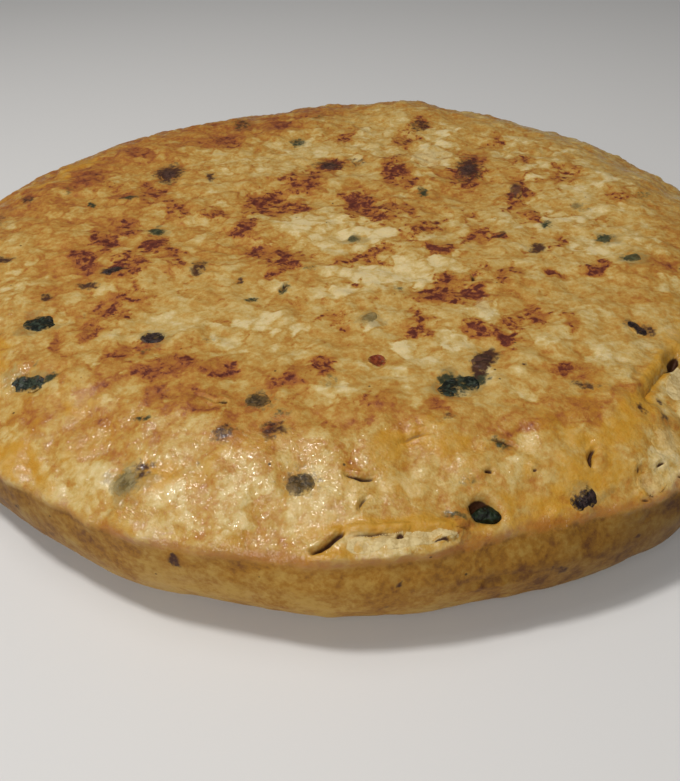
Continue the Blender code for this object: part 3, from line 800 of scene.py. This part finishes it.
# plain values of the crust's shader, a colour as a tuple
crustShine = {
    "Specular IOR Level": 0.22, "Coat Roughness": 0.07, "Coat Tint": (1.0, 0.96, 0.84),
    "Subsurface Weight": 0.10, "Subsurface Scale": 1.5 * mm, "Subsurface Radius": [1.0, 0.55, 0.22],
}


def colourScale(tree, value, stops):
    scale = addNode(tree, "ShaderNodeValToRGB", {"Fac": value})
    band = scale.color_ramp
    while len(band.elements) < len(stops):
        band.elements.new(0.5)
    for element, (at, colour) in zip(band.elements, stops):
        element.position = at
        element.color = (*colour, 1.0)
    return scale.outputs["Color"]


def speckNode(tree, place, spacing, reach, share):
    # small round specks, in this share of the cells
    cells = addNode(tree, "ShaderNodeTexVoronoi", {"Vector": place, "Scale": 1.0 / (spacing * mm)})
    dots = ramp(tree, cells.outputs["Distance"], reach, reach * 0.6)
    return calc(tree, "MULTIPLY", dots, calc(tree, "LESS_THAN", cells.outputs["Color"], share))


def lumpNodes(tree, place, size):
    # lumps of potato under the egg: a tone for each lump, and 1 along the seams between them
    finer, reach = 0.7 * size * mm, 1.3 * size * mm
    push = addNode(tree, "ShaderNodeTexNoise", {"Vector": place, "Scale": 1.0 / finer, "Detail": 4.0})
    moved = addNode(tree, "ShaderNodeVectorMath", {0: push.outputs["Color"], 1: [reach] * 3, 2: place},
                    operation="MULTIPLY_ADD")
    spread = {"Vector": moved.outputs[0], "Scale": 1.0 / (size * mm)}
    tones = addNode(tree, "ShaderNodeTexVoronoi", {**spread, "Smoothness": 0.35}, feature="SMOOTH_F1")
    gaps = addNode(tree, "ShaderNodeTexVoronoi", spread, feature="DISTANCE_TO_EDGE")
    parts = addNode(tree, "ShaderNodeSeparateColor", {0: tones.outputs["Color"]})
    return ramp(tree, parts.outputs[0], 0.1, 0.9), ramp(tree, gaps.outputs["Distance"], 0.24, 0.0)


def crustShare(tree, fields, shareName):
    weights, *span = crustShares[shareName]
    total = weighed(tree, [(fields[fieldName], weight) for fieldName, weight in weights.items()])
    return ramp(tree, total, *span) if span else total


def tinted(tree, fields, tone, tints):
    for tintName in tints:
        tone = mixColour(tree, crustShare(tree, fields, tintName), tone, crustTints[tintName])
    return tone


def crustGroup():
    # the crust's colour, roughness, wetness and relief, shared with the pieces that egg covers at their rims
    tree = bpy.data.node_groups.new("crustSkin", "ShaderNodeTree")
    for socketName in ("Colour", "Roughness", "Wet", "Pebbles"):
        kind = "NodeSocketColor" if socketName == "Colour" else "NodeSocketFloat"
        tree.interface.new_socket(name=socketName, in_out="OUTPUT", socket_type=kind)
    outlet = tree.nodes.new("NodeGroupOutput")
    place = tree.nodes.new("ShaderNodeTexCoord").outputs["Object"]
    fields = {noiseName: noiseNode(tree, place, *form) for noiseName, form in crustNoises.items()}
    fields.update((maskName, maskNode(tree, maskName)) for maskName in crustMasks)
    fields["whole"] = 1.0
    fields["lump"], fields["seam"] = lumpNodes(tree, place, 6.0)
    fields["specks"] = speckNode(tree, place, 5.2, 0.07, 0.42)
    # painted shade of the slits and of the torn places
    fields["slit"] = calc(tree, "MAXIMUM", maskNode(tree, "slit"), maskNode(tree, "deep"))

    # egg with cream islands of potato, then soft browning, dark flecks and thin brown veins
    fields["island"] = crustShare(tree, fields, "island")
    soft = crustShare(tree, fields, "soft")
    ridge = calc(tree, "ABSOLUTE", calc(tree, "SUBTRACT", fields["vein"], 0.5))
    vein = calc(tree, "MULTIPLY", ramp(tree, ridge, 0.09, 0.0), soft)
    core = scaled(tree, crustShare(tree, fields, "core"), fields["dash"], 0.42, 0.48)
    fields["core"] = scaled(tree, core, fields["shoulder"], -0.72)
    light = crustShare(tree, fields, "light")
    for field, slope in ((soft, -0.44), (vein, -0.34), (fields["core"], -1.0)):
        light = scaled(tree, light, field, slope)
    tone = tinted(tree, fields, colourScale(tree, light, crustScale), ("yolkTint", "haloTint"))

    wallTone = colourScale(tree, crustShare(tree, fields, "wall"), sideScale)
    # painted shade on the side wall, darker to the right
    wallTone = tinted(tree, fields, wallTone, ("paintedShadeTint",))
    tone = mixColour(tree, crustShare(tree, fields, "sideTint"), tone, wallTone)
    # the last tint is the painted shade in the slits and torn places
    tone = tinted(tree, fields, tone, ("edgeTint", "greenTint", "plumTint", "speckTint", "slitShadeTint"))

    wet = crustShare(tree, fields, "wet")
    pebbles = scaled(tree, crustShare(tree, fields, "pebbles"), fields["shoulder"], 0.55, 0.45)
    feed(tree, outlet, {"Colour": tone, "Wet": wet, "Pebbles": pebbles,
                        "Roughness": calc(tree, "MULTIPLY_ADD", wet, -0.20, 0.60)})


def skinNode(tree):
    skin = tree.nodes.new("ShaderNodeGroup")
    skin.node_tree = bpy.data.node_groups["crustSkin"]
    return skin.outputs


def crustMaterial():
    material, tree, shader, place = newMaterial("searedCrust")
    skin = skinNode(tree)
    glints = noiseNode(tree, place, 1.0, 2.0, 0.5, 0.0, 0.30)
    feed(tree, shader, {
        **crustShine, "Base Color": skin["Colour"], "Roughness": skin["Roughness"],
        "Coat Weight": ramp(tree, skin["Wet"], 0.32, 0.92, 0.62),
        "Normal": bumpNode(tree, skin["Pebbles"], 0.10, 0.9),
        "Coat Normal": bumpNode(tree, glints, 0.17, 1.0),
    })
    return material


crustGroup()
roundPiece.data.materials.append(crustMaterial())
pick(roundPiece)
bpy.ops.object.shade_smooth()
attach(roundPiece, "root")
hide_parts("omelette")


# vegetable pieces in the crust

# what a kind of piece has unless it says otherwise
anyKind = {"slot": "courgette_skin", "rough": 0.40, "share": 0.52, "cover": 1.0, "soft": 0.34}
pieceKinds = {
    "skin": {"nodes": ("courgette_1", "courgette_2", "courgette_7"),
             "dark": (0.004, 0.006, 0.004), "light": (0.036, 0.048, 0.030),
             "rough": 0.36, "share": 0.62, "soft": 0.26},
    "plum": {"nodes": ("courgette_3", "courgette_8", "courgette_13", "courgette_15"),
             "dark": (0.007, 0.004, 0.005), "light": (0.048, 0.028, 0.024),
             "rough": 0.36, "share": 0.60, "soft": 0.24},
    "deep": {"nodes": ("courgette_tear",),
             "dark": (0.002, 0.003, 0.001), "light": (0.014, 0.026, 0.010),
             "rough": 0.50, "share": 0.60, "soft": 0.17},
    "green": {"nodes": ("courgette_9", "courgette_10", "courgette_11", "courgette_12"),
              "dark": (0.016, 0.022, 0.009), "light": (0.080, 0.082, 0.036),
              "cover": 0.88},
    "faint": {"nodes": ("courgette_14", "courgette_17"),
              "dark": (0.060, 0.052, 0.022), "light": (0.200, 0.155, 0.065),
              "share": 0.50, "cover": 0.70, "soft": 0.36},
    "dusky": {"nodes": ("courgette_5", "courgette_6"),
              "dark": (0.014, 0.009, 0.004), "light": (0.098, 0.060, 0.023),
              "share": 0.56, "cover": 0.92},
    "olive": {"nodes": ("courgette_4",),
              "dark": (0.034, 0.034, 0.014), "light": (0.200, 0.165, 0.075),
              "rough": 0.32, "share": 0.48, "cover": 0.80, "soft": 0.36},
    "brown": {"nodes": ("browned_1", "browned_3", "browned_4", "browned_5"),
              "dark": (0.024, 0.010, 0.008), "light": (0.090, 0.040, 0.025),
              "slot": "browned_vegetable", "rough": 0.42, "cover": 0.94},
    "ruddy": {"nodes": ("courgette_16",),
              "dark": (0.030, 0.012, 0.008), "light": (0.120, 0.048, 0.026),
              "rough": 0.42, "cover": 0.85, "soft": 0.36},
    "rust": {"nodes": ("browned_2",),
             "dark": (0.100, 0.012, 0.005), "light": (0.230, 0.050, 0.014),
             "slot": "browned_vegetable", "rough": 0.34, "share": 0.50, "soft": 0.28},
    "slice": {"nodes": ("potato_slice", "potato_lump"),
              "dark": (0.48, 0.34, 0.14), "light": (0.58, 0.45, 0.21),
              "slot": "potato_flesh", "share": 0.40, "cover": 0.80},
    "potato": {"nodes": ("potato_side_1", "potato_side_2"),
               "dark": (0.47, 0.31, 0.11), "light": (0.60, 0.44, 0.19),
               "slot": "potato_flesh", "share": 0.40, "cover": 0.60},
    "filling": {"nodes": ("potato_front", "potato_hollow"),
                "dark": (0.45, 0.32, 0.13), "light": (0.60, 0.47, 0.23),
                "slot": "potato_flesh", "rough": 0.42, "share": 0.40, "cover": 0.95, "soft": 0.24},
}
# the parts of a piece that egg leaves clear: x, y, length, width, turn, strength, where under 0 takes away
pieceLobes = {
    "courgette_1": ((-71.7, -54.1, 8.2, 7.4, 15, 1.2), (-75.0, -53.6, 3.4, 4.0, 0, 0.8)),
    "courgette_2": ((-70.6, -74.4, 9.4, 4.4, -2, 1.1), (-65.4, -75.2, 4.6, 2.6, 0, 1.2)),
    "courgette_3": ((-43.3, -62.3, 5.2, 6.2, 0, 1.1), (-43.2, -61.9, 1.3, 2.0, 0, -0.5),
                    (-40.7, -62.3, 2.8, 1.5, 0, 1.0)),
    "courgette_7": ((21.4, -82.0, 5.4, 8.8, 0, 1.1), (27.2, -80.8, 5.6, 4.8, 0, 1.1)),
    "courgette_5": ((-18.0, -86.3, 5.2, 5.0, 0, 1.1),),
    "courgette_6": ((-9.0, -106.0, 5.6, 4.0, 0, 1.1),),
    "courgette_9": ((-52.5, -6.3, 4.2, 4.4, 0, 1.2),),
    "courgette_10": ((3.3, -13.8, 3.4, 4.4, 0, 1.2),),
    "courgette_11": ((71.5, -17.9, 4.0, 4.8, -30, 1.2),),
    "courgette_12": ((75.0, -30.5, 4.4, 3.8, 0, 1.2),),
    "courgette_14": ((6.0, -56.0, 4.2, 4.2, 0, 1.2),),
    "courgette_13": ((66.3, -60.0, 3.8, 3.4, 0, 1.3), (68.2, -62.2, 3.6, 3.8, 0, 1.2)),
    "courgette_15": ((-59.5, -29.9, 5.2, 3.8, 0, 1.2),),
    "browned_2": ((7.0, -72.3, 4.0, 4.7, 0, 1.3),),
    "courgette_8": ((44.2, -108.3, 5.2, 2.8, 6, 1.2), (46.2, -107.0, 2.4, 4.2, 70, 1.2)),
    "browned_1": ((29.9, -73.0, 6.8, 4.2, 55, 1.1), (27.6, -76.6, 4.2, 2.8, 50, 0.9)),
    "potato_front": ((9.6, -117.4, 26.0, 4.8, 3, 1.6),),
    "courgette_tear": ((25.8, -113.2, 12.0, 12.0, 0, 1.6),),
}
# where egg covers a piece, as shares of its outline, and heights in mm
pieceForm = {"clearTo": 0.60, "coveredFrom": 1.04, "lift": 0.20, "edgeDrop": 0.45, "ledgeDrop": 0.60,
             "ragged": 0.35, "raggedSize": 1.8, "bumpy": 0.14, "wander": 0.16,
             "potatoEven": 0.45, "buried": 0.4, "castFrom": 60.0}
# where the fillings of the torn places show: x, y, length, width, turn
ledgeOvals = {"potato_front": (9.6, -117.4, 24.4, 3.9, 3.0), "potato_hollow": (70.6, -79.6, 23.0, 9.6, 50.0)}


def vegetableMaterial(name, kind):
    # the piece's own tone where it is clear, and the crust over its rim
    material, tree, shader, place = newMaterial(name)
    skin = skinNode(tree)
    middle = noiseNode(tree, place, 1.9, 3.0, 0.6, 0.5)
    fine = noiseNode(tree, place, 0.7, 3.0, 0.6)
    mottle = weighed(tree, ((middle, 0.6), (fine, 0.4)))
    mottle = ramp(tree, mottle, kind["share"] - 0.28, kind["share"] + 0.34)
    tone = mixColour(tree, mottle, kind["dark"], kind["light"])
    clear = weighed(tree, ((maskNode(tree, "clearShare"), 0.74), (middle, 0.18), (fine, 0.32)))
    clear = ramp(tree, clear, 0.64 - kind["soft"], 0.64 + kind["soft"], kind["cover"])
    # the crust's painted shade of the slits shows over the piece
    clear = calc(tree, "MULTIPLY", clear, ramp(tree, maskNode(tree, "slit"), 0.7, 0.2))
    ownRough = calc(tree, "MULTIPLY_ADD", fine, 0.25, kind["rough"] - 0.1)
    skinRough = scaled(tree, skin["Roughness"], clear, -1.0)
    relief = 0.07 if kind["slot"] == "potato_flesh" else 0.20
    normal = bumpNode(tree, skin["Pebbles"], 0.10, 0.9)
    feed(tree, shader, {
        "Base Color": mixColour(tree, clear, skin["Colour"], tone), "Specular IOR Level": 0.2,
        "Roughness": calc(tree, "MULTIPLY_ADD", ownRough, clear, skinRough),
        "Normal": bumpNode(tree, calc(tree, "MULTIPLY", middle, clear), relief, 0.7, normal),
    })
    return material


def clearField(points, nodeName, share, soft):
    # 1 where the piece shows, 0 where egg covers it
    if nodeName not in pieceLobes:
        return smoothStep(share, pieceForm["coveredFrom"], pieceForm["clearTo"] - 2.0 * (soft - 0.17))
    lobes = pieceLobes[nodeName]
    field = ovalField(points, [lobe for lobe in lobes if lobe[5] > 0.0])
    return field - ovalField(points, [(*lobe[:5], -lobe[5]) for lobe in lobes if lobe[5] < 0.0])


def rimShare(points, centre):
    # how far out each point lies, 1 on the piece's own outline
    sectors = 20
    spans = (points[:, :2] - centre[:2]) / mm
    reach = np.hypot(spans[:, 0], spans[:, 1])
    angles = np.arctan2(spans[:, 1], spans[:, 0])
    inSector = ((angles / math.tau + 0.5) * sectors).astype(int) % sectors
    limits = [reach[inSector == sector].max() for sector in range(sectors)]
    middles = (np.arange(sectors) + 0.5) / sectors * math.tau - math.pi
    return reach / np.interp(angles, middles, limits, period=math.tau)


def bedPiece(piece, nodeName, seed):
    # the visible cap follows the crust and dips below it along a ragged rim
    form = pieceForm
    points = readPoints(piece)
    if nodeName in ledgeOvals:
        share = (np.abs(markOffsets(points, ledgeOvals[nodeName])) ** 4).sum(axis=0) ** 0.25
    else:
        outward = rimShare(points, points.mean(axis=0))
        share = outward + form["wander"] * cloudField(points, 3.6, seed + 2.0, 2)
        share = np.maximum(share, 1.15 * smoothStep(outward, 0.84, 0.97))
    surface = points[:, 2].copy()
    for index, (x, y, height) in enumerate(points):
        hit = crustTree.ray_cast(Vector((x, y, form["castFrom"] * mm)), Vector((0.0, 0.0, -1.0)))[0]
        if hit is not None:
            surface[index] = hit.z
    upper = smoothStep(readNormals(piece)[:, 2], 0.0, 0.35)
    even = form["potatoEven"] if nodeName.startswith("potato") else 1.0
    ragged = even * form["ragged"] * cloudField(points, form["raggedSize"], seed, 2)
    bumpy = form["bumpy"] * cloudField(points, form["raggedSize"] * 1.6, seed + 9.0, 2)
    drop = form["ledgeDrop" if nodeName in ledgeOvals else "edgeDrop"]
    cap = even * form["lift"] * (1.0 - np.minimum(share, 1.2) ** 4) - drop * smoothStep(share, 0.80, 1.10)
    height = surface + mm * (cap + bumpy + ragged * smoothStep(share, 0.6, 0.95))
    points[:, 2] = points[:, 2] * (1.0 - upper) + height * upper
    buried = np.minimum(points[:, 2], surface - form["buried"] * mm)
    points[:, 2] = np.where(share > 1.0, buried, points[:, 2])
    writePoints(piece, points)
    return share


def makeVegetable(nodeName, kind, material, seed):
    piece = copyOfNode(nodeName, nodeName.replace("_", "") + "Piece")
    finer = piece.modifiers.new("finer", "SUBSURF")
    finer.levels = 2
    applyModifiers(piece)
    if nodeName == "courgette_tear":
        points = readPoints(piece)
        knobs = 0.5 * (cloudField(points, 1.6, seed, 2) + cloudField(points, 3.4, seed, 1))
        writePoints(piece, moveHole(points + readNormals(piece) * (knobs * mm)[:, None]))
        share = np.zeros(len(points))
    else:
        share = bedPiece(piece, nodeName, seed)
    paintSkin(piece)
    points = readPoints(piece)
    share += 0.10 * cloudField(points, 2.2, seed, 2)
    writeMask(piece, "clearShare", clearField(warped(points, 2.4, 0.9, seed), nodeName, share, kind["soft"]))
    writeMask(piece, "crestShare", np.full(len(points), 0.5))
    writeMask(piece, "deep", np.zeros(len(points)))
    # only the fillings keep the painted shade of the slits
    if nodeName not in ledgeOvals:
        writeMask(piece, "slit", np.zeros(len(points)))
    pick(piece)
    bpy.ops.object.shade_smooth()
    piece.data.materials.append(material)
    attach(piece, "root")
    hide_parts(nodeName)


crustTree = BVHTree.FromPolygons(readPoints(roundPiece).tolist(),
                                 [face.vertices[:] for face in roundPiece.data.polygons])
seed, seedStep = 0.0, 4.3
for kindName, ownValues in pieceKinds.items():
    kind = {**anyKind, **ownValues}
    kindMaterial = vegetableMaterial(kindName + "Vegetable", kind)
    for nodeName in kind["nodes"]:
        seed += seedStep
        makeVegetable(nodeName, kind, kindMaterial, seed)
print("vegetable pieces made")


# floor, light and camera

studio = {
    "floorSize": 3.0, "floorColour": (0.66, 0.655, 0.65), "floorRough": 0.7,
    "worldColour": (0.95, 0.96, 0.97), "worldStrength": 0.14, "aim": (0.0, 0.0, 0.02),
}
# place, size, power and colour of each light
lights = {
    "sparkLight": ((-0.27, -0.09, 0.80), 0.11, 3.4, (1.0, 0.98, 0.95)),
    "keyLight": ((-0.16, -0.04, 0.80), 0.40, 1.0, (1.0, 0.97, 0.92)),
    "fillLight": ((-0.24, -0.80, 0.58), 0.60, 4.0, (1.0, 0.98, 0.95)),
}
cameraView = {"place": (-1.2, -214.6, 134.6), "downTilt": 37.32, "roll": -1.27,
              "focalPixels": 800.0, "framePixels": (680, 781), "sensorWidth": 36.0}


def softLight(name, place, size, power, colour):
    lamp = bpy.data.lights.new(name, "AREA")
    lamp.shape = "DISK"
    lamp.size = size
    lamp.energy = power
    lamp.color = colour
    holder = bpy.data.objects.new(name, lamp)
    bpy.context.collection.objects.link(holder)
    holder.location = place
    holder.rotation_euler = (Vector(studio["aim"]) - Vector(place)).to_track_quat("-Z", "Y").to_euler()


def makeFloor():
    deselectAll()
    bpy.ops.mesh.primitive_plane_add(size=studio["floorSize"], location=(0.0, 0.0, 0.0))
    floor = bpy.context.active_object
    floor.name = "paleFloor"
    material, tree, shader = newMaterial("paleFloor")[:3]
    feed(tree, shader, {"Base Color": studio["floorColour"], "Roughness": studio["floorRough"]})
    floor.data.materials.append(material)


def makeCamera():
    view = bpy.data.cameras.new("photoView")
    view.sensor_width = cameraView["sensorWidth"]
    view.lens = cameraView["focalPixels"] / max(cameraView["framePixels"]) * view.sensor_width
    view.clip_start = 0.01
    holder = bpy.data.objects.new("photoView", view)
    bpy.context.collection.objects.link(holder)
    tilt = Matrix.Rotation(math.radians(90.0 - cameraView["downTilt"]), 4, "X")
    roll = Matrix.Rotation(math.radians(cameraView["roll"]), 4, "Z")
    holder.matrix_world = Matrix.Translation(Vector(cameraView["place"]) * mm) @ tilt @ roll
    bpy.context.scene.camera = holder


makeFloor()
for lightName, light in lights.items():
    softLight(lightName, *light)
world = bpy.data.worlds.new("paleRoom")
world.use_nodes = True
feed(world.node_tree, world.node_tree.nodes["Background"],
     {"Color": studio["worldColour"], "Strength": studio["worldStrength"]})
bpy.context.scene.world = world
bpy.context.scene.view_settings.view_transform = "Standard"
makeCamera()
print("floor, light and camera placed")

deselectAll()
